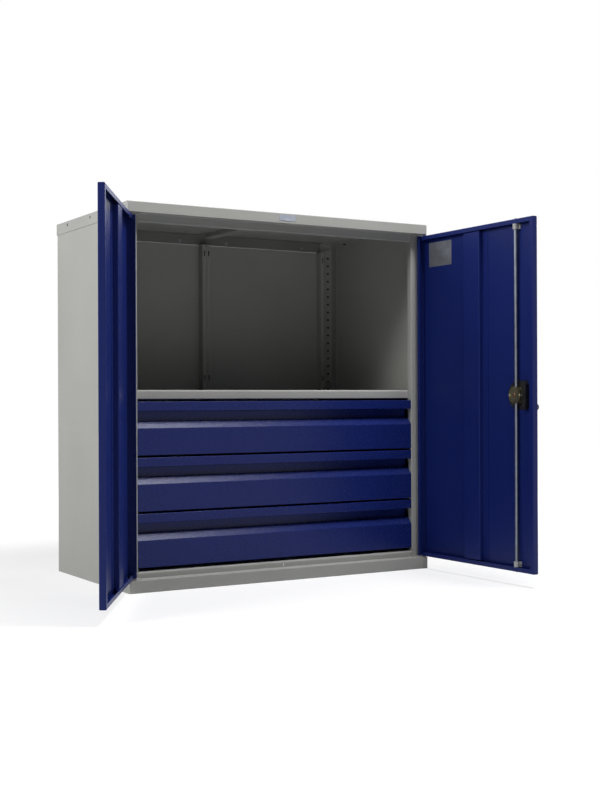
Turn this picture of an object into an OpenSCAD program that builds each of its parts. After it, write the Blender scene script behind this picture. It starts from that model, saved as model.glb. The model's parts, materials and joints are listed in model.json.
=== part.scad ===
// Tool cabinet with two hinged doors, one shelf and three drawers, folded from sheet steel.
// Corner coordinates run x from the left side, y from the front face and z from the floor;
// placed() moves them so that the origin is the middle of the footprint.

/* [Cabinet] */
// Overall width
cab_w = 950; // [850:10:1100]
// Overall depth
cab_d = 500; // [470:10:600]
// Overall height
cab_h = 1000; // [900:10:1200]
// Thickness of the folded sheet
sheet = 1; // [0.8:0.1:1.2]
// Inner radius of an ordinary bend
bend = 1; // [0.6:0.1:1.5]

/* [Cap] */
// Height of the cap's front lip
cap_front = 27; // [22:1:34]
// Height of the cap's side and rear lips
cap_side = 31; // [24:1:40]
// Distance of the cap screws below the top
cap_screw_drop = 10.5; // [8:0.5:14]
// Radius of a cap screw's head
screw_head_r = 4; // [3:0.5:5]

/* [Front frame] */
// Height of the plinth in front of the doors
plinth_h = 33; // [25:1:45]
// Height of the sill above the plinth's ledge
sill_h = 18; // [14:1:24]
// Height of the header below the cap's lip
header_h = 21; // [16:1:30]
// Depth of the ledges that the doors close over
ledge_d = 27; // [26:0.5:32]
// Width of a door jamb, from the cabinet's side to the opening
jamb_w = 37; // [35:1:45]
// Depth of the jamb's return behind its face
jamb_return = 16; // [8:1:16]
// Bend radius along the sill's top edge
sill_round = 6; // [2:0.5:8]

/* [Doors] */
// Opening angle of the left door as it stands
left_open = 121.7; // [0:0.1:130]
// Opening angle of the right door as it stands
right_open = 90.4; // [0:0.1:130]
// Depth of the doors' free, top and bottom edges
door_edge = 16.5; // [15.5:0.5:18]
// Depth of the doors' hinge edge
door_hinge_edge = 24.5; // [22:0.5:25]
// Width of the lips folded behind the edges
door_lip = 12; // [10:1:14]
// Gap between a door and the cabinet's side
door_side_gap = 2; // [1:0.5:3]
// Gap between the two closed doors
door_middle_gap = 3; // [2:0.5:5]
// Gap between the doors and the cap
door_top_gap = 6.5; // [6:0.5:9]
// Gap between the doors and the plinth
door_bottom_gap = 3.5; // [3.5:0.5:6]
// Hinge pin's distance from the door's hinge edge
pin_u = 6.5; // [6:0.25:7]
// Hinge pin's distance from the door's outer face
pin_w = 9.5; // [8.5:0.25:10]
// Radius of a hinge pin
pin_r = 2.5; // [2:0.25:2.75]
// Width of the stiffener behind each door
stiffener_w = 66; // [40:2:90]
// Middle of the stiffener, from the hinge edge
stiffener_u = 230; // [200:5:250]

/* [Lock] */
// Height of the handle's spindle above the floor
lock_z = 502; // [420:1:560]
// Spindle's distance from the door's free edge
lock_inset = 70.5; // [62:0.5:90]
// Travel of the locking rods, and radius of the cam's pins
rod_throw = 19; // [16:0.5:20]
// Radius of a locking rod
rod_r = 4.5; // [3:0.25:4.5]
// Radius of the lock case's round base
case_r = 38; // [36:1:44]
// Width of the lock case's tower
tower_w = 13; // [12.5:0.5:16]
// Height of the tower above the door's inner face
tower_h = 12; // [11:0.5:14]
// Length of the outside handle's grip
handle_l = 76; // [56:2:90]
// Radius of the key's bow
bow_r = 9; // [7:0.5:11]

/* [Shelf and drawers] */
// Height of the shelf's top face
shelf_z = 519; // [515:1:640]
// Height of the shelf's front lip
shelf_lip = 24; // [16:1:26]
// Bend radius along the shelf's front edge
shelf_round = 4; // [1.5:0.5:6]
// Height of one drawer front
drawer_h = 139.5; // [134:0.5:142]
// Distance from one drawer to the next
drawer_pitch = 145; // [144:0.5:148]
// Gap under the lowest drawer
drawer_base_gap = 8.5; // [4:0.5:10]
// Gap between a drawer front and the jambs
drawer_side_gap = 1; // [0.8:0.1:2]
// Height of the flat strip along a drawer front's top
strip_h = 24.5; // [20:0.5:30]
// Height of the finger recess below the strip
recess_h = 27; // [22:1:28]
// Depth of the finger recess
recess_d = 31; // [26:1:34]
// Height and depth of the slope below the recess
slope = 18; // [14:1:20]
// Height of a drawer's sides
tray_h = 106; // [85:1:112]
// Length of a drawer behind its front
tray_l = 385; // [300:5:400]
// Height of a drawer runner
rail_h = 45; // [35:1:46]
// Width of the gap that a drawer runner fills
rail_w = 12.7; // [12.5:0.1:14]

/* [Back and uprights] */
// Depth of the back panels' box edges
box_d = 25; // [15:1:30]
// Width of the back panels' box edges
box_w = 14; // [10:1:18]
// Distance of a back panel from the cabinet's side
back_x = 45; // [35:1:47]
// Height of the rail over the back panels
rear_rail_h = 31; // [24:1:40]
// Leg width of a corner upright
upright_w = 30; // [24:1:32]
// Thickness of a corner upright
upright_t = 1.5; // [1.2:0.1:2]
// Distance between the holes in an upright
hole_pitch = 25; // [20:5:50]
// Length of the holes in an upright
hole_l = 9; // [5:0.5:12]
// Height of the holes in an upright
hole_h = 5; // [3:0.5:7]

/* [Hidden] */
$fn = 32;

// clearances
fit = 0.3;             // between pieces that slide or slip past each other
snug = 0.05;           // round a pin, bush or shaft
tiny = 0.01;           // cuts run this far past a face

// carcass
wall_x = sheet + fit;                       // outer face of a side wall, inside the cap's lip
wall_in = wall_x + sheet;                   // inner face of a side wall
rear_y = cab_d - sheet - fit;               // outer face of the rear flanges, inside the cap's lip
roof_z = cab_h - sheet;                     // underside of the cap
lip_z = cab_h - cap_front;                  // lower edge of the cap's front lip
header_z = lip_z - header_h;                // lower edge of the header
sill_z = plinth_h + sill_h;                 // top of the sill
rear_flange = 50;                           // width of a side wall's rear flange
foot_flange = 20;                           // width of the flanges along the floor and the roof
foot_inset = 60;                            // distance of those flanges from the wall's ends
return_d = 15;                              // depth of the returns behind sill, header and shelf lip
cap_screw_y = [for (i = [1 : 3]) cab_d * (2 * i - 1) / 6];
screw_shank_r = screw_head_r * 0.6;
upright_top = roof_z - 20;
upright_x = wall_in + upright_t;            // inner face of an upright's leg along the wall
floor_z = sill_z - sheet;                   // top of the floor panel, under the sill's return
floor_flange = 20;
box_y = rear_y - sheet - box_d;             // front face of the back panels' box edges
panel_top = roof_z - rear_rail_h - fit;     // upper edge of the back panels
rear_rail_leg = 20;                         // depth of the rear rail's leg under the roof
rear_bolt_x = [for (part = [-0.375, -0.085, 0.085, 0.375]) cab_w * (0.5 + part)];
rear_bolt_z = roof_z - rear_rail_h * 0.7;
rear_bolt_r = 3;
rear_bolt_head_r = 5;
plinth_corner_w = 18;                       // width of the plinth's corner pieces
roof_rib_w = 60;
roof_rib_h = 15;
slot_w = 4;                                 // slots in the box edges
slot_h = 16;

// doors
door_h = lip_z - door_top_gap - plinth_h - door_bottom_gap;
door_z = plinth_h + door_bottom_gap;
door_w = cab_w / 2 - door_side_gap - door_middle_gap / 2;
stiffener_gap = 3;                          // between a stiffener's ends and the lips
pin_x = door_side_gap + pin_u;
bush_r = pin_r + 1.5;
bush_l = 6;
bush_collar = 1.5;
bracket_t = 3;                              // upper hinge bracket
foot_bracket_t = 2.5;                       // lower hinge bracket
bracket_leg = 25;
bracket_leg_w = 16;
bracket_x = jamb_w - bracket_leg_w - sheet;
bracket_gap = 0.7;                          // between the upper bracket and the header's ledge

// lock, in door coordinates: u from the hinge edge, w from the outer face, z from the floor
lock_u = door_w - lock_inset;
case_t = 2.5;
cam_w = sheet + case_t + fit;               // outer face of the cam
cam_t = 1.5;
cam_pin_r = 2.5;
cam_r = rod_throw + cam_pin_r + 1;
lug_t = 2;
upper_lug_w = cam_w + cam_t + 1.1;
lower_lug_w = upper_lug_w + lug_t + 1;
rod_w = cam_w + cam_t + fit + rod_r;        // axis of the rods
cam_cover_w = rod_w + rod_r + fit;          // inner face of the cam's outer plate
lug_wall = 3;
slot_r = cam_pin_r + fit;
lug_reach = rod_throw + slot_r + lug_wall;
tower_u = lug_reach + 1.2;                  // from the spindle to the tower
spindle_a = 7;
spindle_hole_r = spindle_a * 0.75;
rosette_t = 4;
rosette_r = 30;
hub_r = 13;
hub_l = 16;
grip_w = 18;
grip_t = 10;
key_u = lock_u + tower_u + tower_w / 2;
key_z = lock_z - case_r + 6.5;
plug_r = 3.6;
barrel_r = 5.2;
key_stand = 21;                             // from the door's face to the key's bow
rod_top_rest = door_z + door_h + 3;         // upper rod's tip when the rods are drawn in
rod_foot_rest = plinth_h + 2;               // lower rod's tip when the rods are drawn in
rod_hole_r = rod_r + 1;
rod_tip = 6;
guide_h = 14;
guide_w = 22;

// shelf and drawers
shelf_y = ledge_d + jamb_return;            // front face of the shelf, behind the jamb's return
shelf_back = box_y - fit;
front_y = ledge_d + sheet;                  // front face of the drawers, behind the jamb's face
front_w = cab_w - 2 * (jamb_w + drawer_side_gap);
front_x = jamb_w + drawer_side_gap;
tray_y = front_y + recess_d;
carrier_x = jamb_w + fit;                   // inner face of the runner carriers
tray_x = carrier_x + rail_w;
tray_base = 6;                              // tray's bottom above the front's lower edge
rail_y = shelf_y + 3;
rail_back = tray_y + tray_l + 2;
rail_t = 1.2;
rail_z = 45;                                // middle of the runners above the front's lower edge
tray_roll = 6;
drawer_count = 3;
slope_d = slope * 0.83;                     // depth of the slope below the recess
function drawer_z(n) = sill_z + drawer_base_gap + drawer_pitch * (drawer_count - n);

// ---------- shared shapes ----------

module placed() translate([-cab_w / 2, -cab_d / 2, 0]) children();
module other_side() translate([cab_w, 0, 0]) mirror([1, 0, 0]) children();
module both_sides() {
    children();
    other_side() children();
}

function unit(v) = v / norm(v);
function turned(v) = [-v[1], v[0]];
function cross_z(a, b) = a[0] * b[1] - a[1] * b[0];

// Distance from a path's corner to where its bend starts
function bend_cut(path, i, t, r) =
    (i <= 0 || i >= len(path) - 1) ? 0 :
    let (a = unit(path[i] - path[i - 1]), b = unit(path[i + 1] - path[i]))
    (r[i] + t / 2) * tan(acos(a * b) / 2);

// Points along one side of a folded sheet: side is 1 for its left face and -1 for its right
function bend_steps(turn, r) = ceil(turn / (r > 2 ? 9 : 18));
function side_points(path, i, t, r, side) =
    let (last = len(path) - 1,
        a = unit(path[max(i, 1)] - path[max(i, 1) - 1]),
        b = unit(path[min(i, last - 1) + 1] - path[min(i, last - 1)]))
    (i == 0 || i == last) ? [path[i] + side * turned(i == 0 ? b : a) * t / 2] :
    let (way = sign(cross_z(a, b)),
        mid_r = r[i] + t / 2,
        turn = acos(a * b),
        steps = bend_steps(turn, r[i]),
        from = -way * turned(a),
        middle = path[i] - a * bend_cut(path, i, t, r) - mid_r * from)
    [for (k = [0 : steps])
        let (angle = way * turn * k / steps)
        middle + (mid_r - way * side * t / 2)
            * [from[0] * cos(angle) - from[1] * sin(angle), from[0] * sin(angle) + from[1] * cos(angle)]];

// Section of a folded sheet of thickness t along the middle line path, with inner bend radii r
module fold(path, t = sheet, r = bend) {
    last = len(path) - 1;
    radii = [for (i = [0 : last]) is_list(r) ? r[i] : r];
    left = [for (i = [0 : last]) each side_points(path, i, t, radii, 1)];
    right = [for (i = [last : -1 : 0]) let (p = side_points(path, i, t, radii, -1))
        for (k = [len(p) - 1 : -1 : 0]) p[k]];
    polygon(concat(left, right));
}

// Extrudes a section drawn in y and z along x
module along_x(from, length) translate([from, 0, 0]) rotate([90, 0, 90]) linear_extrude(length) children();
// Extrudes a section drawn in x and z along y
module along_y(from, length)
    translate([0, from + length, 0]) rotate([90, 0, 0]) linear_extrude(length) children();
// Round bar along x, y or z from a point
module bar_x(p, r, l) translate(p) rotate([0, 90, 0]) cylinder(r = r, h = l);
module bar_y(p, r, l) translate(p) rotate([-90, 0, 0]) cylinder(r = r, h = l);
module bar_z(p, r, l) translate(p) cylinder(r = r, h = l);

// ---------- carcass ----------

module wall_left() {
    h = sheet / 2;
    difference() {
        union() {
            linear_extrude(roof_z)
                fold([[jamb_w - h, ledge_d + jamb_return], [jamb_w - h, ledge_d + h], [wall_x + h, ledge_d + h],
                    [wall_x + h, rear_y - h], [rear_flange, rear_y - h]]);
            for (z = [0, roof_z - sheet])
                translate([wall_x + h, foot_inset, z])
                    cube([foot_flange, cab_d - 2 * foot_inset, sheet]);
        }
        for (y = cap_screw_y)
            bar_x([0, y, cab_h - cap_screw_drop], screw_shank_r + snug, wall_in + fit);
        translate([-tiny, rear_y - sheet - tiny, roof_z - bend]) cube([rear_flange + 1, 2 * sheet, 2 * bend]);
    }
}
module side_wall_left() color([0.67, 0.67, 0.66]) placed() wall_left();
module side_wall_right() color([0.67, 0.67, 0.66]) placed() other_side() wall_left();

module top_cap() color([0.65, 0.65, 0.63]) placed() {
    h = sheet / 2;
    difference() {
        union() {
            along_x(0, cab_w)
                fold([[h, lip_z], [h, cab_h - h], [cab_d - h, cab_h - h], [cab_d - h, cab_h - cap_side]]);
            both_sides() {
                translate([0, 2 * bend, cab_h - cap_side]) cube([sheet, cab_d - 4 * bend, cap_side - h]);
                translate([0, h, lip_z]) cube([sheet, 2 * bend, cap_front - 2 * bend]);
                translate([0, cab_d - 2 * bend - h, cab_h - cap_side])
                    cube([sheet, 2 * bend, cap_side - 2 * bend]);
            }
        }
        both_sides()
            for (y = cap_screw_y)
                bar_x([-tiny, y, cab_h - cap_screw_drop], screw_head_r + fit, sheet + 2 * tiny);
    }
}

module cap_screws() color([0.25, 0.25, 0.25]) placed() both_sides()
    for (y = cap_screw_y)
        translate([0, y, cab_h - cap_screw_drop]) {
            bar_x([0.2, 0, 0], screw_head_r, wall_x - 0.2);
            bar_x([wall_x - tiny, 0, 0], screw_shank_r, sheet + 6);
        }

// Slot and hole in the ledges over and under the doors
rod_x = cab_w - door_side_gap - lock_u;
module ledge_cuts(z) bar_z([rod_x, rod_w, z - sheet - tiny], rod_hole_r, 3 * sheet);

module header_rail() color([0.42, 0.43, 0.41]) placed() {
    h = sheet / 2;
    leg = 14;
    catch_w = 24;
    difference() {
        union() {
            along_x(wall_x, cab_w - 2 * wall_x)
                fold([[sheet + h, lip_z + leg], [sheet + h, lip_z + h], [ledge_d, lip_z + h]]);
            along_x(jamb_w + fit, cab_w - 2 * (jamb_w + fit))
                fold([[ledge_d - 5, lip_z + h], [ledge_d + h, lip_z + h], [ledge_d + h, header_z + h],
                    [ledge_d + return_d, header_z + h]]);
        }
        ledge_cuts(lip_z);
        translate([cab_w / 2 - 3 * catch_w, 12, lip_z - sheet]) cube([catch_w, 5, 3 * sheet]);
    }
}

module plinth_front() color([0.5, 0.51, 0.49]) placed() {
    h = sheet / 2;
    difference() {
        union() {
            along_x(plinth_corner_w + fit, cab_w - 2 * (plinth_corner_w + fit))
                fold([[foot_flange, h], [h, h], [h, plinth_h - h], [ledge_d, plinth_h - h]]);
            along_x(jamb_w + fit, cab_w - 2 * (jamb_w + fit))
                fold([[ledge_d - 5, plinth_h - h], [ledge_d + h, plinth_h - h], [ledge_d + h, sill_z - h],
                    [ledge_d + return_d, sill_z - h]], r = [0, bend, sill_round, 0]);
        }
        ledge_cuts(plinth_h);
        translate([cab_w / 2 - 1, ledge_d - tiny, plinth_h + 3]) cube([2, 2 * sheet, 7]);
    }
}

module plinth_corners() color([0.5, 0.51, 0.49]) placed() both_sides() {
    width = plinth_corner_w - wall_x;
    translate([wall_x, 0, 0]) cube([width, sheet, plinth_h]);
    translate([wall_x, 0, 0]) cube([sheet, ledge_d, plinth_h]);
    translate([wall_x, 0, plinth_h - sheet]) cube([width, ledge_d, sheet]);
}

module floor_panel() color([0.45, 0.46, 0.44]) placed() {
    h = sheet / 2;
    from = ledge_d + sheet + sill_round + fit;
    difference() {
        along_y(from, shelf_back - from)
            fold([[wall_in + h, floor_z - floor_flange], [wall_in + h, floor_z - h],
                [cab_w - wall_in - h, floor_z - h], [cab_w - wall_in - h, floor_z - floor_flange]]);
        both_sides()
            translate([0, 0, floor_z - floor_flange - tiny])
                cube([jamb_w + fit, shelf_y + fit, floor_flange + 2 * tiny]);
    }
}

module floor_stiffener() color([0.45, 0.46, 0.44]) placed() {
    h = sheet / 2;
    x = cab_w / 2 - roof_rib_w / 2;
    rib = roof_rib_w / 4;
    high = floor_z - sheet - h;
    along_y(foot_inset, cab_d - 2 * foot_inset)
        fold([[x, high], [x + rib, high], [x + rib, h], [x + roof_rib_w - rib, h],
            [x + roof_rib_w - rib, high], [x + roof_rib_w, high]]);
}

module roof_stiffener() color([0.5, 0.51, 0.49]) placed() {
    h = sheet / 2;
    x = cab_w / 2 - roof_rib_w / 2;
    rib = roof_rib_w / 4;
    along_y(return_d * 4, box_y - return_d * 4 - return_d)
        fold([[x, roof_z - h], [x + rib, roof_z - h], [x + rib, roof_z - roof_rib_h],
            [x + roof_rib_w - rib, roof_z - roof_rib_h], [x + roof_rib_w - rib, roof_z - h],
            [x + roof_rib_w, roof_z - h]]);
}

module rear_rail() color([0.5, 0.51, 0.49]) placed() {
    h = sheet / 2;
    plane_y = rear_y - sheet - h;
    difference() {
        along_x(back_x, cab_w - 2 * back_x)
            fold([[plane_y + h - rear_rail_leg, roof_z - h], [plane_y, roof_z - h],
                [plane_y, roof_z - rear_rail_h]]);
        for (x = rear_bolt_x)
            bar_y([x, plane_y - sheet, rear_bolt_z], rear_bolt_r + fit, 2 * sheet);
    }
}

module rear_rail_bolts() color([0.7, 0.7, 0.7]) placed()
    for (x = rear_bolt_x)
        translate([x, rear_y - 2 * sheet, rear_bolt_z]) {
            bar_y([0, -rear_bolt_r, 0], rear_bolt_head_r, rear_bolt_r);
            bar_y([0, -tiny, 0], rear_bolt_r, 2 * sheet);
        }

module back_left() {
    h = sheet / 2;
    mid = cab_w / 2 - fit / 2;
    free_y = rear_y - 2 * sheet - fit;
    difference() {
        translate([0, 0, 2 * sheet]) linear_extrude(panel_top - 2 * sheet)
            fold([[back_x + box_w - h, free_y], [back_x + box_w - h, box_y + h],
                [back_x + h, box_y + h], [back_x + h, rear_y - sheet - h], [mid - h, rear_y - sheet - h],
                [mid - h, box_y + h], [mid - box_w + h, box_y + h], [mid - box_w + h, free_y]]);
        for (x = [back_x + box_w / 2, mid - box_w / 2], z = [0.56, 0.94])
            translate([x - slot_w / 2, box_y - tiny, cab_h * z - slot_h / 2])
                cube([slot_w, sheet + 2 * tiny, slot_h]);
    }
}
module back_panel_left() color([0.5, 0.51, 0.5]) placed() back_left();
module back_panel_right() color([0.5, 0.51, 0.5]) placed() other_side() back_left();

// Perforated angle in a corner, with one leg along the wall and one along y = 0
module upright() {
    holes = floor((upright_top - sill_z) / hole_pitch) - 1;
    hole_from = upright_w * 0.55 - hole_l / 2;
    difference() {
        linear_extrude(upright_top - sill_z)
            fold([[upright_t / 2, upright_w], [upright_t / 2, upright_t / 2], [upright_w, upright_t / 2]],
                t = upright_t);
        for (i = [1 : holes]) translate([0, 0, i * hole_pitch - hole_h / 2]) {
            translate([hole_from, -tiny, 0]) cube([hole_l, upright_t + 2 * tiny, hole_h]);
            translate([-tiny, hole_from, 0]) cube([upright_t + 2 * tiny, hole_l, hole_h]);
        }
    }
}
module front_upright() translate([wall_in, ledge_d + sheet, sill_z]) upright();
rear_post_gap = 4;                          // between the rear uprights and the rear flanges
module rear_upright()
    translate([wall_in, rear_y - sheet - rear_post_gap, sill_z]) mirror([0, 1, 0]) upright();
module upright_front_left() color([0.55, 0.56, 0.54]) placed() front_upright();
module upright_front_right() color([0.55, 0.56, 0.54]) placed() other_side() front_upright();
module upright_rear_left() color([0.55, 0.56, 0.54]) placed() rear_upright();
module upright_rear_right() color([0.55, 0.56, 0.54]) placed() other_side() rear_upright();

// ---------- shelf ----------

module shelf() color([0.54, 0.55, 0.52]) placed() {
    h = sheet / 2;
    along_x(upright_x + fit, cab_w - 2 * (upright_x + fit))
        fold([[shelf_y + return_d, shelf_z - shelf_lip + h], [shelf_y + h, shelf_z - shelf_lip + h],
            [shelf_y + h, shelf_z - h], [shelf_back - h, shelf_z - h], [shelf_back - h, shelf_z - shelf_lip]],
            r = [0, bend, shelf_round, bend, 0]);
}

clip_d = 9;
clip_t = 1.2;
clip_y = [ledge_d + sheet + upright_w - clip_d, shelf_back - sheet - bend - fit - clip_d];
module shelf_clips() color([0.75, 0.75, 0.72]) placed() both_sides()
    for (y = clip_y)
        along_y(y, clip_d)
            fold([[upright_x + clip_t / 2, shelf_z - shelf_lip + 4],
                [upright_x + clip_t / 2, shelf_z - sheet - clip_t / 2],
                [upright_x + 18, shelf_z - sheet - clip_t / 2]], t = clip_t, r = 0.5);

// ---------- runners ----------

function runner_z(n) = drawer_z(n) + rail_z;

module runner_carriers() color([0.5, 0.51, 0.49]) placed() both_sides()
    for (n = [1 : drawer_count]) {
        low = runner_z(n) - rail_h / 2 + sheet;
        high = runner_z(n) + rail_h / 2 - sheet;
        along_y(rail_y, box_y - fit - rail_y)
            fold([[upright_x, low], [carrier_x - sheet / 2, low], [carrier_x - sheet / 2, high],
                [upright_x, high]]);
    }

// Channel of the given height with its web at x = web, open towards x = rim
module channel(web, rim, height) {
    x = web + sign(rim - web) * rail_t / 2;
    z = height / 2 - rail_t / 2;
    fold([[rim, -z], [x, -z], [x, z], [rim, z]], t = rail_t, r = 0.4);
}

middle_h = rail_h - 2 * rail_t - 2 * fit;
inner_h = middle_h - 2 * rail_t - 2 * fit;
module rail_pair(n) placed() both_sides() translate([0, 0, runner_z(n)]) children();
module outer_rails(n) color([0.72, 0.73, 0.74]) rail_pair(n)
    along_y(rail_y, rail_back - rail_y) channel(carrier_x, tray_x - 2.5, rail_h);
module middle_rails(n) color([0.66, 0.67, 0.69]) rail_pair(n)
    along_y(rail_y + 4, rail_back - rail_y - 4) channel(carrier_x + rail_t + 0.9, tray_x - 2.5, middle_h);
module inner_rails(n) color([0.72, 0.73, 0.74]) rail_pair(n)
    along_y(tray_y, tray_l) channel(tray_x, tray_x - 8, inner_h);

// ---------- hinges on the carcass ----------

module hinge_bracket(z, t, turn) {
    y = door_side_gap + 1.5;
    leg = turn > 0 ? z : z + t - bracket_leg;
    difference() {
        translate([y, y, z]) cube([bracket_x + bracket_leg_w - y, ledge_d - y, t]);
        bar_z([pin_x, pin_w, z - tiny], pin_r + snug, t + 2 * tiny);
    }
    translate([bracket_x, ledge_d - t, leg]) cube([bracket_leg_w, t, bracket_leg]);
}
upper_bracket_z = lip_z - bracket_gap - bracket_t;
module upper_hinge_brackets() color([0.12, 0.12, 0.13]) placed() both_sides()
    hinge_bracket(upper_bracket_z, bracket_t, -1);
module lower_hinge_brackets() color([0.12, 0.12, 0.13]) placed() both_sides()
    hinge_bracket(plinth_h, foot_bracket_t, 1);

door_top = door_z + door_h;
pin_reach = sheet + bush_l + 2;             // how far a pin stands inside the door's edge
module hinge_pins() color([0.7, 0.7, 0.7]) placed() both_sides() {
    bar_z([pin_x, pin_w, door_top - pin_reach], pin_r, upper_bracket_z + bracket_t - door_top + pin_reach);
    bar_z([pin_x, pin_w, plinth_h], pin_r, door_z + pin_reach - plinth_h);
}

// ---------- doors ----------

// Door coordinates: u from the hinge edge, w from the outer face, z from the floor
module left_hung() placed()
    translate([pin_x, pin_w, 0]) rotate([0, 0, -left_open]) translate([-pin_u, -pin_w, 0]) children();
module right_hung() placed() other_side()
    translate([pin_x, pin_w, 0]) rotate([0, 0, -right_open]) translate([-pin_u, -pin_w, 0]) children();

module door_pan() {
    h = sheet / 2;
    corner = sheet + bend;
    hinge_w = door_hinge_edge - h;
    edge_w = door_edge - h;
    difference() {
        union() {
            translate([0, 0, door_z + corner]) linear_extrude(door_h - 2 * corner)
                fold([[door_lip, hinge_w], [h, hinge_w], [h, h], [door_w - h, h], [door_w - h, edge_w],
                    [door_w - door_lip, edge_w]]);
            along_x(corner, door_w - 2 * corner)
                fold([[edge_w, door_z + door_lip], [edge_w, door_z + h], [h, door_z + h], [h, door_top - h],
                    [edge_w, door_top - h], [edge_w, door_top - door_lip]]);
            for (z = [door_z, door_top - sheet])
                translate([0, corner, z]) cube([door_w, edge_w - corner - bend, sheet]);
            translate([0, corner, door_z]) cube([sheet, hinge_w - corner - bend, door_h]);
            translate([door_w - sheet, corner, door_z]) cube([sheet, edge_w - corner - bend, door_h]);
        }
        for (z = [door_z, door_top - sheet])
            bar_z([pin_u, pin_w, z - tiny], bush_r + snug, sheet + 2 * tiny);
    }
}

module stiffener() {
    h = sheet / 2;
    near = stiffener_u - stiffener_w / 2 + h;
    far = stiffener_u + stiffener_w / 2 - h;
    foot = 20;
    base_w = sheet + h;
    end_gap = door_lip + stiffener_gap;
    translate([0, 0, door_z + end_gap]) linear_extrude(door_h - 2 * end_gap)
        fold([[near - foot, base_w], [near, base_w], [near, door_edge - h], [far, door_edge - h],
            [far, base_w], [far + foot, base_w]]);
}

collar_r = bush_r + 1.2;
foot_collar = door_bottom_gap - foot_bracket_t - 0.4;
module door_bushes() difference() {
    union() {
        bar_z([pin_u, pin_w, door_top - sheet - bush_l], bush_r, sheet + bush_l);
        bar_z([pin_u, pin_w, door_top], collar_r, bush_collar);
        bar_z([pin_u, pin_w, door_z], bush_r, sheet + bush_l);
        bar_z([pin_u, pin_w, door_z - foot_collar], collar_r, foot_collar);
    }
    bar_z([pin_u, pin_w, door_z - foot_collar - tiny], pin_r + snug, door_h + 2 * bush_l);
}

module left_door_panel() color([0.1, 0.13, 0.31]) left_hung() door_pan();
module left_door_stiffener() color([0.1, 0.13, 0.31]) left_hung() stiffener();
module left_door_bushes() color([0.8, 0.8, 0.78]) left_hung() door_bushes();

module right_door_panel() color([0.1, 0.13, 0.31]) right_hung() difference() {
    door_pan();
    for (z = [door_z, door_top - sheet])
        bar_z([lock_u, rod_w, z - tiny], rod_r + fit, sheet + 2 * tiny);
    bar_y([lock_u, -tiny, lock_z], spindle_hole_r, sheet + 2 * tiny);
    bar_y([key_u, -tiny, key_z], barrel_r + snug, sheet + 2 * tiny);
}
module right_door_stiffener() color([0.1, 0.13, 0.31]) right_hung() stiffener();
module right_door_bushes() color([0.8, 0.8, 0.78]) right_hung() door_bushes();

// ---------- lock ----------

high_cut = 6;                               // chamfers of the tower's corners
low_cut = 3;
module lock_case() color([0.08, 0.08, 0.09]) right_hung() difference() {
    union() {
        bar_y([lock_u, sheet, lock_z], case_r, case_t);
        translate([lock_u, 0, lock_z]) along_y(sheet, case_t)
            translate([0, -case_r]) square([tower_u + 1, 2 * case_r]);
        translate([lock_u + tower_u, 0, lock_z]) along_y(sheet, tower_h)
            polygon([[0, -case_r], [tower_w - low_cut, -case_r], [tower_w, low_cut * 1.5 - case_r],
                [tower_w, case_r - high_cut * 1.5], [tower_w - high_cut, case_r], [0, case_r]]);
    }
    bar_y([lock_u, sheet - tiny, lock_z], spindle_hole_r, case_t + 2 * tiny);
    bar_y([key_u, sheet - tiny, key_z], barrel_r + snug, barrel_l - barrel_rim_t - sheet + snug);
}

neck_r = 8;                                 // handle's neck, turning in the rosette
module handle_rosette() color([0.08, 0.08, 0.09]) right_hung() difference() {
    bar_y([lock_u, -rosette_t, lock_z], rosette_r, rosette_t);
    bar_y([lock_u, -rosette_t - tiny, lock_z], neck_r + snug, rosette_t + 2 * tiny);
}

module rod_guide(z) right_hung() difference() {
    union() {
        translate([lock_u - guide_w / 2, sheet, z - guide_h / 2]) cube([guide_w, 3, guide_h]);
        translate([lock_u - rod_r - 3, sheet, z - guide_h / 2])
            cube([2 * (rod_r + 3), rod_w - sheet, guide_h]);
        bar_z([lock_u, rod_w, z - guide_h / 2], rod_r + 3, guide_h);
    }
    bar_z([lock_u, rod_w, z - guide_h / 2 - tiny], rod_r + snug, guide_h + 2 * tiny);
}
guide_drop = door_lip + guide_h / 2 + fit;  // from the door's edge to the middle of a guide
module upper_rod_guide() color([0.6, 0.6, 0.58]) rod_guide(door_top - guide_drop);
module lower_rod_guide() color([0.6, 0.6, 0.58]) rod_guide(door_z + guide_drop);

barrel_l = tower_h + 1;                     // from the rim's front face to the barrel's end
barrel_rim_t = 2;
module key_cylinder() color([0.75, 0.74, 0.7]) right_hung() difference() {
    union() {
        bar_y([key_u, -barrel_rim_t, key_z], barrel_r + 2.5, barrel_rim_t);
        bar_y([key_u, -tiny, key_z], barrel_r, barrel_l - barrel_rim_t);
    }
    bar_y([key_u, -barrel_rim_t - tiny, key_z], plug_r + snug, barrel_l - 2);
}
blade = [1.2, 5.4];                         // key blade's thickness and height
blade_l = barrel_l - 6;                      // how far the blade reaches behind the door's face
module key_plug() color([0.78, 0.72, 0.5]) right_hung() difference() {
    bar_y([key_u, -barrel_rim_t, key_z], plug_r, barrel_l - 2.3);
    translate([key_u - blade[0] / 2 - snug, -barrel_rim_t - tiny, key_z - blade[1] / 2 - snug])
        cube([blade[0] + 2 * snug, blade_l + barrel_rim_t + 0.2, blade[1] + 2 * snug]);
}
module door_key() color([0.7, 0.7, 0.7]) right_hung() difference() {
    union() {
        translate([key_u - blade[0] / 2, -key_stand - bow_r, key_z - blade[1] / 2])
            cube([blade[0], key_stand + bow_r + blade_l, blade[1]]);
        bar_x([key_u - 1, -key_stand - bow_r, key_z], bow_r, 2);
    }
    bar_x([key_u - 2, -key_stand - 1.4 * bow_r, key_z], 2.2, 4);
}

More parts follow.
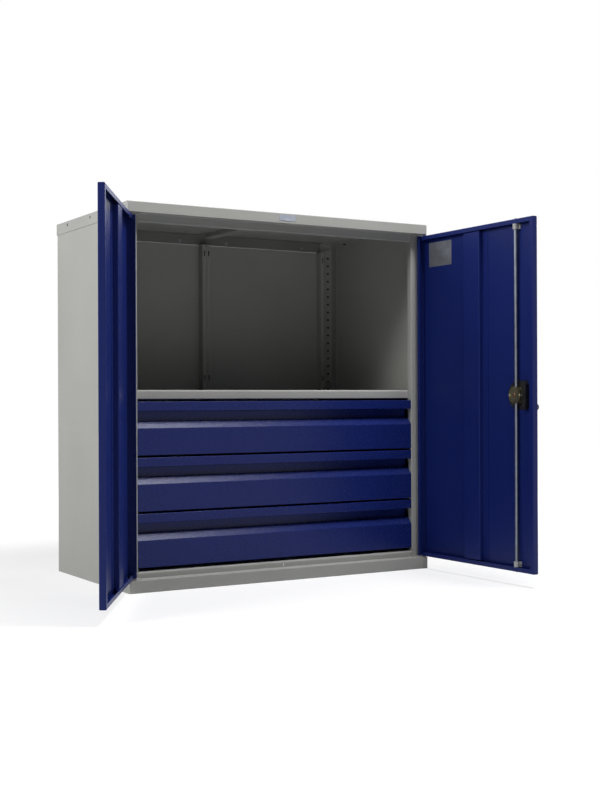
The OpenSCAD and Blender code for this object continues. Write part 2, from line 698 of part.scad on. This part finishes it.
handle_face = -rosette_t - fit;             // back of the hub, just off the rosette
spindle_in = 9;                             // how far the spindle reaches into the hub
module outside_handle() color([0.08, 0.08, 0.09]) right_hung() difference() {
    union() {
        bar_y([lock_u, handle_face - tiny, lock_z], neck_r, rosette_t);
        bar_y([lock_u, handle_face - hub_l, lock_z], hub_r, hub_l);
        translate([lock_u - grip_w / 2, handle_face - hub_l, lock_z - handle_l])
            cube([grip_w, grip_t, handle_l]);
        bar_y([lock_u, handle_face - hub_l, lock_z - handle_l], grip_w / 2, grip_t);
    }
    spindle_bar(handle_face - spindle_in, spindle_in + rosette_t + 1, snug);
}
module spindle_bar(w, l, gap) {
    a = spindle_a + 2 * gap;
    translate([lock_u - a / 2, w, lock_z - a / 2]) cube([a, l, a]);
}
module handle_spindle() color([0.6, 0.6, 0.6]) right_hung()
    spindle_bar(handle_face - spindle_in, cam_w + cam_t + 0.5 - handle_face + spindle_in, 0);

module lock_cam() color([0.5, 0.49, 0.42]) right_hung() {
    difference() {
        bar_y([lock_u, cam_w, lock_z], cam_r, cam_t);
        spindle_bar(cam_w - tiny, cam_t + 2 * tiny, snug);
    }
    for (u = [-rod_throw, rod_throw])
        bar_y([lock_u + u, cam_w + cam_t / 2, lock_z], cam_pin_r, cam_cover_w - cam_w);
    bar_y([lock_u, cam_cover_w, lock_z], cam_r, cam_t);
}

// Where the cam's pin stands in the rod's own slot when the cam has turned by an angle
function slot_point(angle) = rod_throw * [-cos(angle), sin(angle) - angle / 90];
module slot_shape(r) hull() for (angle = [0 : 15 : 90]) translate(slot_point(angle)) circle(r);
rod_start = 8;                              // from the spindle to a rod's round end, at rest
neck_half = rod_r - 0.8;                    // half the width of the lug's neck
module rod_lug(w, turn)
    translate([lock_u, 0, lock_z]) along_y(w, lug_t) rotate(turn) difference() {
        union() {
            slot_shape(slot_r + lug_wall);
            translate([-neck_half, 0]) square([2 * neck_half, rod_start + 6]);
        }
        slot_shape(slot_r);
    }
module upper_rod() color([0.55, 0.56, 0.56]) right_hung() {
    rod_lug(upper_lug_w, 0);
    bar_z([lock_u, rod_w, lock_z + rod_start], rod_r, rod_top_rest - rod_tip - lock_z - rod_start);
    translate([lock_u, rod_w, rod_top_rest - rod_tip]) cylinder(r1 = rod_r, r2 = rod_r * 0.5, h = rod_tip);
}
module lower_rod() color([0.55, 0.56, 0.56]) right_hung() {
    rod_lug(lower_lug_w, 180);
    bar_z([lock_u, rod_w, rod_foot_rest + rod_tip], rod_r, lock_z - rod_start - rod_foot_rest - rod_tip);
    translate([lock_u, rod_w, rod_foot_rest]) cylinder(r1 = rod_r * 0.5, r2 = rod_r, h = rod_tip);
}

// ---------- drawers ----------

module drawer_front(n) color([0.13, 0.16, 0.37]) placed() translate([0, 0, drawer_z(n)]) {
    h = sheet / 2;
    face = front_y + h;
    back = tray_y - h;
    strip_z = drawer_h - strip_h;
    ledge_z = strip_z - recess_h;
    along_x(front_x, front_w)
        fold([[front_y + 7, strip_z + h], [face, strip_z + h], [face, drawer_h - h], [back, drawer_h - h],
            [back, ledge_z - h], [front_y + slope_d, ledge_z - h], [face, ledge_z - slope], [face, h],
            [back - 6, h]]);
}

module drawer_tray(n) color([0.15, 0.18, 0.4]) placed() translate([0, 0, drawer_z(n) + tray_base]) {
    h = sheet / 2;
    left = tray_x + h;
    right = cab_w - tray_x - h;
    along_y(tray_y, tray_l)
        fold([[left - tray_roll, tray_h - tray_roll], [left - tray_roll, tray_h - h], [left, tray_h - h],
            [left, h], [right, h], [right, tray_h - h], [right + tray_roll, tray_h - h],
            [right + tray_roll, tray_h - tray_roll]]);
    for (y = [tray_y, tray_y + tray_l - sheet])
        translate([left, y, h]) cube([right - left, sheet, tray_h - h]);
}

// ---------- calls ----------

side_wall_left();
side_wall_right();
top_cap();
header_rail();
plinth_front();
plinth_corners();
floor_panel();
floor_stiffener();
roof_stiffener();
rear_rail();
rear_rail_bolts();
back_panel_left();
back_panel_right();
upright_front_left();
upright_front_right();
upright_rear_left();
upright_rear_right();
shelf();
shelf_clips();
runner_carriers();
outer_rails(1);  // drawer_1_outer_rails
outer_rails(2);  // drawer_2_outer_rails
outer_rails(3);  // drawer_3_outer_rails
upper_hinge_brackets();
lower_hinge_brackets();
hinge_pins();
cap_screws();
left_door_panel();
left_door_stiffener();
left_door_bushes();
right_door_panel();
right_door_stiffener();
right_door_bushes();
lock_case();
handle_rosette();
upper_rod_guide();
lower_rod_guide();
key_cylinder();
outside_handle();
handle_spindle();
lock_cam();
key_plug();
door_key();
upper_rod();
lower_rod();
drawer_front(1);  // drawer_1_front
drawer_tray(1);  // drawer_1_tray
inner_rails(1);  // drawer_1_inner_rails
middle_rails(1);  // drawer_1_middle_rails
drawer_front(2);  // drawer_2_front
drawer_tray(2);  // drawer_2_tray
inner_rails(2);  // drawer_2_inner_rails
middle_rails(2);  // drawer_2_middle_rails
drawer_front(3);  // drawer_3_front
drawer_tray(3);  // drawer_3_tray
inner_rails(3);  // drawer_3_inner_rails
middle_rails(3);  // drawer_3_middle_rails
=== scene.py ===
"""Looks of the tool cabinet: paints, metals, plates, fasteners, weld marks, light and camera."""
import json
import math

import bmesh
import bpy
from mathutils import Matrix, Vector


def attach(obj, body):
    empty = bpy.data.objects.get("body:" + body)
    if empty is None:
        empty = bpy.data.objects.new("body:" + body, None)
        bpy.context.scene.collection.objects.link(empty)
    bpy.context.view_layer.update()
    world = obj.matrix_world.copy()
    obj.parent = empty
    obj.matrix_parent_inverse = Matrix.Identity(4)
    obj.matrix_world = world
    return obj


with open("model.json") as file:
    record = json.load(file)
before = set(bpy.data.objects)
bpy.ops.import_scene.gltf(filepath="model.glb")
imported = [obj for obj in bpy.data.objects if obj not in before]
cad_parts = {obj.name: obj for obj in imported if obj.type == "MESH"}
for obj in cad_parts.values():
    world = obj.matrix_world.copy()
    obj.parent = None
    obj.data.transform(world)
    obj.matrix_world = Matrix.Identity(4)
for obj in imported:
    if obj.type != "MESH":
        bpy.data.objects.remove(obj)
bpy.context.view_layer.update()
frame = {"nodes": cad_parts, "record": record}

scene = bpy.context.scene

# ---------------------------------------------------------------- places on the cabinet

MM = 0.001
CAB_W, CAB_D = 950, 500
DOOR_SIDE_GAP = 2                           # from the cabinet's side to a shut door's hinge edge
PIN_U, PIN_W = 6.5, 9.5                     # hinge pin, from the door's hinge edge and outer face
PIN_X = DOOR_SIDE_GAP + PIN_U
LEFT_OPEN, RIGHT_OPEN = math.radians(-121.7), math.radians(90.4)


def at(x, y, z):
    """A point in the frame, from millimetres off the shut cabinet's left side, front and floor."""
    return Vector(((x - CAB_W / 2) * MM, (y - CAB_D / 2) * MM, z * MM))


def on_hinge(pin, opening, from_pin, w, z):
    """A point of an open door, from_pin millimetres to the right of its pin when it is shut."""
    turned = Matrix.Rotation(opening, 3, "Z") @ Vector((from_pin * MM, (w - PIN_W) * MM, 0))
    return pin + turned + Vector((0, 0, z * MM))


def on_left_door(u, w, z):
    """u from the door's hinge edge, w inwards from its outer face, z from the floor."""
    return on_hinge(at(PIN_X, PIN_W, 0), LEFT_OPEN, u - PIN_U, w, z)


def on_right_door(u, w, z):
    """u, w and z as on the left door."""
    return on_hinge(at(CAB_W - PIN_X, PIN_W, 0), RIGHT_OPEN, PIN_U - u, w, z)


def inwards(on_door):
    """The direction from a door's outer face to its inner face."""
    return on_door(0, 1000, 0) - on_door(0, 0, 0)


# ---------------------------------------------------------------- camera, as in the photograph

CAMERA_PLACE = (-1.7646, -3.1151, 0.4920)
CAMERA_TURN, CAMERA_ROLL = -29.403, -0.22   # degrees about the upright and the line of sight
LENS, SHIFT = 55.526, 0.0746

camera_data = bpy.data.cameras.new("camera")
camera_data.sensor_width = 36
camera_data.lens = LENS
camera_data.shift_x = SHIFT
camera_data.clip_end = 60
camera = bpy.data.objects.new("camera", camera_data)
camera.location = CAMERA_PLACE
turn = Matrix.Rotation(math.radians(CAMERA_TURN), 4, "Z")
level_view = Matrix.Rotation(math.radians(90), 4, "X")
roll = Matrix.Rotation(math.radians(CAMERA_ROLL), 4, "Z")
camera.rotation_euler = (turn @ level_view @ roll).to_euler()
scene.collection.objects.link(camera)
scene.camera = camera

# ---------------------------------------------------------------- wiring of the materials

MIX_SHARE, MIX_FIRST, MIX_SECOND, MIX_RESULT = 0, 6, 7, 2    # sockets of a Mix node for colours


def linear(r, g, b):
    """Linear colour of an 8-bit screen colour."""
    def one(c):
        c /= 255
        return c / 12.92 if c <= 0.04045 else ((c + 0.055) / 1.055) ** 2.4
    return (one(r), one(g), one(b), 1)


def shade(colour, factor):
    return tuple(min(1, c * factor) for c in colour[:3]) + (1,)


def feed(tree, socket, value):
    """Link a socket to a node's output, or set it to a plain value."""
    if isinstance(value, bpy.types.NodeSocket):
        tree.links.new(value, socket)
    else:
        socket.default_value = value


def maths(tree, operation, *values):
    node = tree.nodes.new("ShaderNodeMath")
    node.operation = operation
    for socket, value in zip(node.inputs, values):
        feed(tree, socket, value)
    return node.outputs[0]


def shows_background(tree):
    """1 for the rays that show the background itself: straight, mirrored and seen through."""
    path = tree.nodes.new("ShaderNodeLightPath").outputs
    shown = maths(tree, "MAXIMUM", path["Is Camera Ray"], path["Is Glossy Ray"])
    return maths(tree, "MAXIMUM", shown, path["Is Transmission Ray"])


class Wiring:
    """Adds and links the nodes of one material."""

    def __init__(self, name):
        self.material = bpy.data.materials.new(name)
        self.material.use_nodes = True
        self.tree = self.material.node_tree
        self.shader = self.tree.nodes["Principled BSDF"]
        self.place = self.tree.nodes.new("ShaderNodeTexCoord").outputs["Object"]

    def add(self, kind, inputs):
        node = self.tree.nodes.new(kind)
        for name, value in inputs.items():
            feed(self.tree, node.inputs[name], value)
        return node

    def noise(self, scale, detail=2.0, rough=0.5, place=None):
        node = self.add("ShaderNodeTexNoise", {
            "Vector": place or self.place, "Scale": scale, "Detail": detail, "Roughness": rough})
        return node.outputs["Fac"]

    def stretched(self, scale):
        node = self.add("ShaderNodeMapping", {"Vector": self.place, "Scale": scale})
        return node.outputs["Vector"]

    def spread(self, value, low, high, from_low=0.3, from_high=0.7):
        """Map a value's useful range, such as the middle of a noise, to low and high."""
        node = self.add("ShaderNodeMapRange", {
            "Value": value, "From Min": from_low, "From Max": from_high,
            "To Min": low, "To Max": high})
        return node.outputs["Result"]

    def blend(self, share, first, second, kind="MIX"):
        node = self.tree.nodes.new("ShaderNodeMix")
        node.data_type = "RGBA"
        node.blend_type = kind
        for index, value in ((MIX_SHARE, share), (MIX_FIRST, first), (MIX_SECOND, second)):
            feed(self.tree, node.inputs[index], value)
        return node.outputs[MIX_RESULT]

    def bump(self, height, strength, distance, below=None):
        node = self.add("ShaderNodeBump", {
            "Height": height, "Strength": strength, "Distance": distance})
        if below is not None:
            feed(self.tree, node.inputs["Normal"], below)
        return node.outputs["Normal"]

    def to_shader(self, name, value):
        feed(self.tree, self.shader.inputs[name], value)


# ---------------------------------------------------------------- finishes

# the near-black colour of painted shade
PAINTED_SHADE_TONE = (0.012, 0.012, 0.012, 1)
SPECK_TINT = (0.86, 0.86, 0.87, 1)
TONE_SCALE, PEEL_SCALE, PIMPLE_SCALE = 3.1, 260.0, 820.0     # noises of a powder coat, per metre
PEEL_DEPTH, PIMPLE_DEPTH = 0.0006, 0.00025
CLOUD_SCALE, MARK_DEPTH = 45.0, 0.0001                       # plated metals
MOULD_TONE_SCALE, MOULD_GRAIN_SCALE, MOULD_GRAIN_DEPTH = 40.0, 1500.0, 0.0002
# how quickly the marks on a metal change along x, y and z
EVEN_MARKS, LEVEL_MARKS = (90, 90, 90), (60, 60, 900)
ROD_MARKS, BRUSH_MARKS = (700, 700, 20), (20, 900, 20)
# the lowest and highest corners of boxes of |x|, y and z where shade is painted: the gap behind
# the rear uprights and the top edges of the back panels
SHADE_BEHIND_REAR_UPRIGHTS = ((0.42, 0.2468, 0.05), (0.4735, 0.2482, 0.955))
SHADE_ON_BACK_PANEL_TOPS = ((-1, -1, 0.9675), (1, 1, 0.98))


def darken_in_box(w, colour, low, high):
    """Painted shade: darken a colour where |x|, y and z lie in a box, standing in for a gap that
    light does not reach.
    """
    axes = w.add("ShaderNodeSeparateXYZ", {"Vector": w.place}).outputs
    from_middle = maths(w.tree, "ABSOLUTE", axes["X"])
    inside = None
    for value, lowest, highest in zip((from_middle, axes["Y"], axes["Z"]), low, high):
        middle, half = (lowest + highest) / 2, (highest - lowest) / 2
        near = maths(w.tree, "COMPARE", value, middle, half)
        inside = near if inside is None else maths(w.tree, "MULTIPLY", inside, near)
    return w.blend(inside, colour, PAINTED_SHADE_TONE)


def powder_coat(name, colour, rough, grain=0.35, specular=0.5, painted_shade_box=None):
    """Fine-textured powder coat: a pimpled skin over slow changes of tone, with shade painted into
    the given box if there is one.
    """
    w = Wiring(name)
    slow = w.noise(TONE_SCALE)
    pimples = w.noise(PIMPLE_SCALE, rough=0.55)
    peel = w.noise(PEEL_SCALE)
    tone = w.blend(w.spread(slow, 0, 1), shade(colour, 0.955), shade(colour, 1.045))
    specks = w.spread(pimples, 0, 0.5, 0.42, 0.62)
    skin = w.blend(specks, tone, SPECK_TINT, "MULTIPLY")
    w.to_shader("Base Color", darken_in_box(w, skin, *painted_shade_box) if painted_shade_box else skin)
    w.to_shader("Roughness", w.spread(peel, *rough))
    w.to_shader("Specular IOR Level", specular)
    pimpled = w.bump(pimples, grain, PIMPLE_DEPTH)
    w.to_shader("Normal", w.bump(peel, grain, PEEL_DEPTH, pimpled))
    return w.material


def plated(name, colour, rough, marks=EVEN_MARKS, metal=1.0):
    """Plated or bare metal: fine drawing marks and cloudy patches."""
    w = Wiring(name)
    drawn = w.noise(1.0, place=w.stretched(marks))
    clouds = w.noise(CLOUD_SCALE, detail=3.0)
    tone = w.blend(w.spread(clouds, 0, 1), shade(colour, 0.84), shade(colour, 1.1))
    w.to_shader("Base Color", tone)
    w.to_shader("Metallic", metal)
    w.to_shader("Roughness", w.spread(clouds, *rough))
    w.to_shader("Normal", w.bump(drawn, 0.12, MARK_DEPTH))
    return w.material


def moulded(name, colour, rough):
    """Moulded plastic with a fine sparked grain."""
    w = Wiring(name)
    grain = w.noise(MOULD_GRAIN_SCALE)
    slow = w.noise(MOULD_TONE_SCALE)
    tone = w.blend(w.spread(slow, 0, 1), shade(colour, 0.85), shade(colour, 1.15))
    w.to_shader("Base Color", tone)
    w.to_shader("Roughness", w.spread(slow, *rough))
    w.to_shader("Normal", w.bump(grain, 0.2, MOULD_GRAIN_DEPTH))
    return w.material


grey = linear(178, 178, 173)
inside_grey = shade(grey, 0.97)
blue = linear(24, 39, 106)
shell_paint = powder_coat("light_grey_coat", grey, (0.38, 0.48), specular=0.2)
# the walls' coat, with shade painted into the gap behind the rear uprights
wall_paint_shaded_gap = powder_coat("light_grey_coat_walls_painted_shade", grey, (0.38, 0.48), specular=0.2,
                         painted_shade_box=SHADE_BEHIND_REAR_UPRIGHTS)
# the back panels' coat, with shade painted along their top edges in place of the light they catch
back_paint_shaded_top = powder_coat("light_grey_coat_back_painted_shade", inside_grey, (0.42, 0.52), specular=0.15,
                         painted_shade_box=SHADE_ON_BACK_PANEL_TOPS)
frame_paint = powder_coat("light_grey_coat_inside", inside_grey, (0.42, 0.52), specular=0.15)
blue_paint = powder_coat("blue_coat", blue, (0.32, 0.42), specular=0.18)
drawer_paint = powder_coat("blue_coat_drawers", blue, (0.22, 0.3), grain=0.7, specular=0.18)
# the rear rail: the grey coat at 0.6 of its tone, shade painted over the recessed rail
rail_painted_shade = powder_coat("grey_coat_painted_shade", shade(grey, 0.6), (0.46, 0.56), specular=0.1)
black_steel = powder_coat("black_coat", linear(32, 32, 34), (0.4, 0.5))
zinc = plated("zinc_plate", linear(170, 174, 176), (0.32, 0.45), LEVEL_MARKS)
rod_zinc = plated("rod_zinc", linear(122, 127, 138), (0.38, 0.5), ROD_MARKS)
cam_zinc = plated("cam_yellow_zinc", linear(150, 142, 112), (0.32, 0.48))
copper = plated("nut_copper", linear(104, 80, 62), (0.42, 0.56), metal=0.8)
key_steel = plated("key_steel", linear(70, 72, 88), (0.35, 0.5))
brass = plated("key_brass", linear(186, 160, 104), (0.28, 0.4))
badge_metal = plated("badge_metal", linear(170, 176, 188), (0.35, 0.5), BRUSH_MARKS, 0.6)
label_foil = plated("label_foil", linear(120, 123, 131), (0.4, 0.55), BRUSH_MARKS, 0.35)
black_plastic = moulded("black_plastic", linear(18, 18, 19), (0.42, 0.52))
guide_plastic = moulded("grey_guide_plastic", linear(176, 178, 176), (0.4, 0.5))

SLOT_LOOK = {
    "shell_paint": shell_paint,
    "frame_paint": frame_paint,
    "blue_paint": blue_paint,
    "black_steel": black_steel,
    "black_plastic": black_plastic,
    "zinc_steel": zinc,
    "brass_parts": brass,
}
OWN_LOOK = {
    "side_wall_left": wall_paint_shaded_gap,
    "side_wall_right": wall_paint_shaded_gap,
    "back_panel_left": back_paint_shaded_top,
    "back_panel_right": back_paint_shaded_top,
    "rear_rail": rail_painted_shade,
    "upper_rod": rod_zinc,
    "lower_rod": rod_zinc,
    "upper_rod_guide": guide_plastic,
    "lower_rod_guide": guide_plastic,
    "lock_cam": cam_zinc,
    "door_key": key_steel,
}
for number in (1, 2, 3):
    OWN_LOOK[f"drawer_{number}_front"] = OWN_LOOK[f"drawer_{number}_tray"] = drawer_paint

slot_of = {p["node"]: p["material_slot"] for p in frame["record"]["subparts"]}
for name, node in frame["nodes"].items():
    node.data.materials.clear()
    node.data.materials.append(OWN_LOOK.get(name) or SLOT_LOOK[slot_of[name]])

# ---------------------------------------------------------------- pieces made here

CORNER_STEPS = 6                            # of a plate's rounded corner
HEAD_SIDES = 20
# shares of a head's radius and height, from its foot to its top
DOME = ((1, 0), (1, 0.35), (0.9, 0.72), (0.66, 0.93))
CLOSED_TOP = ((0.35, 1),)
HOLLOW_TOP = ((0.4, 1), (0.3, 0.45))
FASTENER_SIZE, TURN_SEED = 1.0, 7


def finish_piece(name, mesh, body):
    piece = bpy.data.objects.new(name, mesh)
    scene.collection.objects.link(piece)
    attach(piece, body)


def skin_mesh(name, rows, smooth=False):
    """A closed skin over rings of points, with a flat face at each end."""
    bm = bmesh.new()
    rings = [[bm.verts.new(point) for point in row] for row in rows]
    for low, high in zip(rings, rings[1:]):
        for i in range(len(low)):
            j = (i + 1) % len(low)
            bm.faces.new((low[i], low[j], high[j], high[i])).smooth = smooth
    bm.faces.new(rings[-1])
    bm.faces.new(list(reversed(rings[0])))
    bmesh.ops.recalc_face_normals(bm, faces=bm.faces)
    mesh = bpy.data.meshes.new(name)
    bm.to_mesh(mesh)
    bm.free()
    return mesh


def plate_mesh(name, corner, across, up, out, thick, radius, bevel, look):
    """A flat plate: corner is its lower left on the surface, across and up are its full sides."""
    wide, high = across.length, up.length
    across, up, out = across.normalized(), up.normalized(), out.normalized()
    centres = ((wide - radius, radius), (wide - radius, high - radius),
               (radius, high - radius), (radius, radius))
    outline = []
    for (x, y), start in zip(centres, (-90, 0, 90, 180)):
        for step in range(CORNER_STEPS + 1):
            a = math.radians(start + step * 90 / CORNER_STEPS)
            outline.append(Vector((x + radius * math.cos(a), y + radius * math.sin(a))))
    middle = Vector((wide / 2, high / 2))
    rows = []
    for rise, inset in ((0, 0), (thick - bevel, 0),
                        (thick - bevel * 0.3, bevel * 0.3), (thick, bevel)):
        ring = [p + (middle - p).normalized() * inset for p in outline]
        rows.append([corner + across * p.x + up * p.y + out * rise for p in ring])
    mesh = skin_mesh(name, rows)
    mesh.materials.append(look)
    return mesh


def head_mesh(name, radius, height, top):
    """A domed head standing on z = 0, with a closed or a hollow top."""
    turns = [2 * math.pi * i / HEAD_SIDES for i in range(HEAD_SIDES)]
    profile = [(radius * r, height * z) for r, z in DOME + top]
    rows = [[(r * math.cos(a), r * math.sin(a), z) for a in turns] for r, z in profile]
    return skin_mesh(name, rows, smooth=True)


def scatter_tree(shape, look):
    """Geometry nodes that stand a shape on each point, along the point's own direction."""
    tree = bpy.data.node_groups.new("fasteners_on_points", "GeometryNodeTree")
    for name, way, kind in (("Points", "INPUT", "Geometry"), ("Size", "INPUT", "Float"),
                            ("Turn seed", "INPUT", "Int"), ("Geometry", "OUTPUT", "Geometry")):
        tree.interface.new_socket(name, in_out=way, socket_type="NodeSocket" + kind)
    new = tree.nodes.new
    source = new("NodeGroupInput").outputs
    to_points = new("GeometryNodeMeshToPoints")
    info = new("GeometryNodeObjectInfo")
    info.inputs["Object"].default_value = shape
    facing = new("GeometryNodeInputNamedAttribute")
    facing.data_type = "FLOAT_VECTOR"
    facing.inputs["Name"].default_value = "facing"
    align = new("FunctionNodeAlignRotationToVector")
    align.axis = "Z"
    spin = new("FunctionNodeRandomValue")
    spin.data_type = "FLOAT_VECTOR"
    lowest, highest = spin.inputs[:2]
    lowest.default_value, highest.default_value = (0, 0, 0), (0, 0, math.pi)
    turned = new("FunctionNodeRotateRotation")
    turned.rotation_space = "LOCAL"
    stand = new("GeometryNodeInstanceOnPoints")
    real = new("GeometryNodeRealizeInstances")
    paint = new("GeometryNodeSetMaterial")
    paint.inputs["Material"].default_value = look
    result = new("NodeGroupOutput")
    for output, socket in (
            (source["Points"], to_points.inputs["Mesh"]),
            (to_points.outputs["Points"], stand.inputs["Points"]),
            (info.outputs["Geometry"], stand.inputs["Instance"]),
            (facing.outputs[0], align.inputs["Vector"]),
            (source["Turn seed"], spin.inputs["Seed"]),
            (align.outputs[0], turned.inputs[0]),
            (spin.outputs[0], turned.inputs[1]),
            (turned.outputs[0], stand.inputs["Rotation"]),
            (source["Size"], stand.inputs["Scale"]),
            (stand.outputs["Instances"], real.inputs["Geometry"]),
            (real.outputs["Geometry"], paint.inputs["Geometry"]),
            (paint.outputs["Geometry"], result.inputs["Geometry"])):
        tree.links.new(output, socket)
    return tree


def stand_on_points(name, places, direction, shape_mesh, look, body):
    """Fasteners or marks at points, all facing one way, as one plain mesh that rides on a body."""
    shape = bpy.data.objects.new(name + "_shape", shape_mesh)
    scene.collection.objects.link(shape)
    points = bpy.data.meshes.new(name + "_points")
    points.from_pydata(places, [], [])
    facing = points.attributes.new("facing", "FLOAT_VECTOR", "POINT")
    facing.data.foreach_set("vector", list(direction.normalized()) * len(places))
    holder = bpy.data.objects.new(name + "_holder", points)
    scene.collection.objects.link(holder)
    modifier = holder.modifiers.new("stand", "NODES")
    modifier.node_group = scatter_tree(shape, look)
    settings = {"Size": FASTENER_SIZE, "Turn seed": TURN_SEED}
    for socket in modifier.node_group.interface.items_tree:
        if socket.name in settings:
            modifier[socket.identifier] = settings[socket.name]
    evaluated = holder.evaluated_get(bpy.context.evaluated_depsgraph_get())
    made = bpy.data.meshes.new_from_object(evaluated)
    made.name = name
    bpy.data.objects.remove(holder)
    bpy.data.objects.remove(shape)
    finish_piece(name, made, body)


FRONT, RIGHT, UP = Vector((0, -1, 0)), Vector((1, 0, 0)), Vector((0, 0, 1))
INWARD = inwards(on_right_door)
TOWARD_FREE_EDGE = on_right_door(1000, 0, 0) - on_right_door(0, 0, 0)

# the badge on the cap and the label on the right door are plates left bare
BADGE_X, BADGE_FOOT, BADGE_W, BADGE_H = 449, 979.5, 0.052, 0.016
badge = plate_mesh("badge_plate", at(BADGE_X, 0, BADGE_FOOT), RIGHT * BADGE_W, UP * BADGE_H, FRONT,
                   thick=0.0008, radius=0.003, bevel=0.0004, look=badge_metal)
finish_piece("badge_plate", badge, "cabinet")

DOOR_SHEET_W = 1                            # inner face of a door's sheet
LABEL_U, LABEL_FOOT, LABEL_W, LABEL_H = 28, 875, 0.1, 0.07
label = plate_mesh("label_plate", on_right_door(LABEL_U, DOOR_SHEET_W, LABEL_FOOT),
                   TOWARD_FREE_EDGE * LABEL_W, UP * LABEL_H, INWARD,
                   thick=0.0005, radius=0.002, bevel=0.0002, look=label_foil)
finish_piece("label_plate", label, "right_door")

# spot welds along the flanges of the doors' stiffeners
STIFFENER_W = 2                             # inner face of a flange
WELD_LINES, WELD_ROWS, WELD_FOOT, WELD_PITCH = (187, 273), 11, 75, 82
weld = head_mesh("weld_mark", 0.0034, 0.00022, CLOSED_TOP)
for side, on_door in (("left", on_left_door), ("right", on_right_door)):
    welds = [on_door(u, STIFFENER_W, WELD_FOOT + row * WELD_PITCH)
             for row in range(WELD_ROWS) for u in WELD_LINES]
    stand_on_points(side + "_door_weld_marks", welds, inwards(on_door), weld, blue_paint,
                    side + "_door")

# fasteners of the lock
LOCK_U, LOCK_Z = 401, 502
CASE_W, CAM_W, GUIDE_W = 3.5, 16.4, 4       # inner faces of the lock case, cam and rod guides
CASE_SCREWS = ((-22, 24), (-22, -24), (18, 28), (18, -28))
CAM_PINS = (-19, 19)
GUIDE_RIVETS, GUIDE_HEIGHTS = (-9, 9), (947.2, 55.8)

case_screws = [on_right_door(LOCK_U + u, CASE_W, LOCK_Z + z) for u, z in CASE_SCREWS]
small_screw = head_mesh("small_screw_head", 0.003, 0.0018, HOLLOW_TOP)
stand_on_points("lock_case_screws", case_screws, INWARD, small_screw, black_steel,
                "right_door")
cam_pins = [on_right_door(LOCK_U + u, CAM_W, LOCK_Z) for u in CAM_PINS]
pin_head = head_mesh("cam_pin_head", 0.0036, 0.0012, HOLLOW_TOP)
stand_on_points("cam_pin_heads", cam_pins, INWARD, pin_head, cam_zinc, "handle")
nut = head_mesh("cam_nut", 0.0055, 0.0034, CLOSED_TOP)
stand_on_points("cam_nut", [on_right_door(LOCK_U, CAM_W, LOCK_Z)], INWARD, nut, copper,
                "handle")
guide_rivets = [on_right_door(LOCK_U + u, GUIDE_W, z) for u in GUIDE_RIVETS for z in GUIDE_HEIGHTS]
rivet = head_mesh("rivet_head", 0.0024, 0.001, CLOSED_TOP)
stand_on_points("rod_guide_rivets", guide_rivets, INWARD, rivet, zinc, "right_door")

# ---------------------------------------------------------------- light, floor and background

SKY_COLOUR, SKY_STRENGTH = (0.93, 0.96, 1, 1), 0.015
WHITE = (1, 1, 1, 1)
FLOOR_LIT, FLOOR_SEEN = (0.7, 0.7, 0.7, 1), (0.45, 0.45, 0.45, 1)
GLOW_NEAR, GLOW_FAR = 0.62, 1.0             # the floor's own white by the cabinet and far off
GLOW_START, GLOW_END = 0.7, 2.6             # from the middle, in metres
FLOOR_REACH = 14
SOFTBOXES = {                               # place, target, width, height and watts
    "overhead_key": ((0.5, -1.1, 2.9), (0.1, -0.3, 0.4), 1.0, 0.8, 67),
    "left_wash": ((-3.4, 0.5, 2.0), (-0.4, 0, 0.6), 1.6, 1.6, 48),
    "upper_left": ((-2.35, -0.85, 2.55), (0.47, -0.5, 0.4), 0.8, 0.8, 33),
    "rear_fill": ((3.6, 1.5, 2.0), (0.2, 0.1, 0.5), 1.2, 1.2, 40),
}

world = bpy.data.worlds.new("studio")
scene.world = world
world.use_nodes = True
sky = world.node_tree
soft = sky.nodes["Background"]
soft.inputs["Color"].default_value = SKY_COLOUR
soft.inputs["Strength"].default_value = SKY_STRENGTH
white = sky.nodes.new("ShaderNodeBackground")
white.inputs["Color"].default_value = WHITE
choose = sky.nodes.new("ShaderNodeMixShader")
sky.links.new(shows_background(sky), choose.inputs[0])
sky.links.new(soft.outputs[0], choose.inputs[1])
sky.links.new(white.outputs[0], choose.inputs[2])
sky.links.new(choose.outputs[0], sky.nodes["World Output"].inputs["Surface"])

for name, (place, target, width, height, power) in SOFTBOXES.items():
    data = bpy.data.lights.new(name, "AREA")
    data.shape = "RECTANGLE"
    data.size, data.size_y, data.energy = width, height, power
    lamp = bpy.data.objects.new(name, data)
    lamp.location = place
    lamp.rotation_euler = (Vector(target) - Vector(place)).to_track_quat("-Z", "Y").to_euler()
    scene.collection.objects.link(lamp)

floor_mesh = bpy.data.meshes.new("floor")
floor_mesh.from_pydata([(-FLOOR_REACH, -FLOOR_REACH, 0), (FLOOR_REACH, -FLOOR_REACH, 0),
                        (FLOOR_REACH, FLOOR_REACH, 0), (-FLOOR_REACH, FLOOR_REACH, 0)],
                       [], [(0, 1, 2, 3)])
floor = bpy.data.objects.new("floor", floor_mesh)
scene.collection.objects.link(floor)
pale = Wiring("pale_floor")
seen = shows_background(pale.tree)
pale.to_shader("Base Color", pale.blend(seen, FLOOR_LIT, FLOOR_SEEN))
pale.to_shader("Roughness", 0.9)
pale.to_shader("Specular IOR Level", 0.0)
far = pale.add("ShaderNodeVectorMath", {"Vector": pale.place})
far.operation = "LENGTH"
glow = pale.spread(far.outputs["Value"], GLOW_NEAR, GLOW_FAR, GLOW_START, GLOW_END)
pale.to_shader("Emission Color", WHITE)
pale.to_shader("Emission Strength", maths(pale.tree, "MULTIPLY", glow, seen))
floor_mesh.materials.append(pale.material)

scene.view_settings.view_transform = "Standard"

bpy.context.view_layer.update()
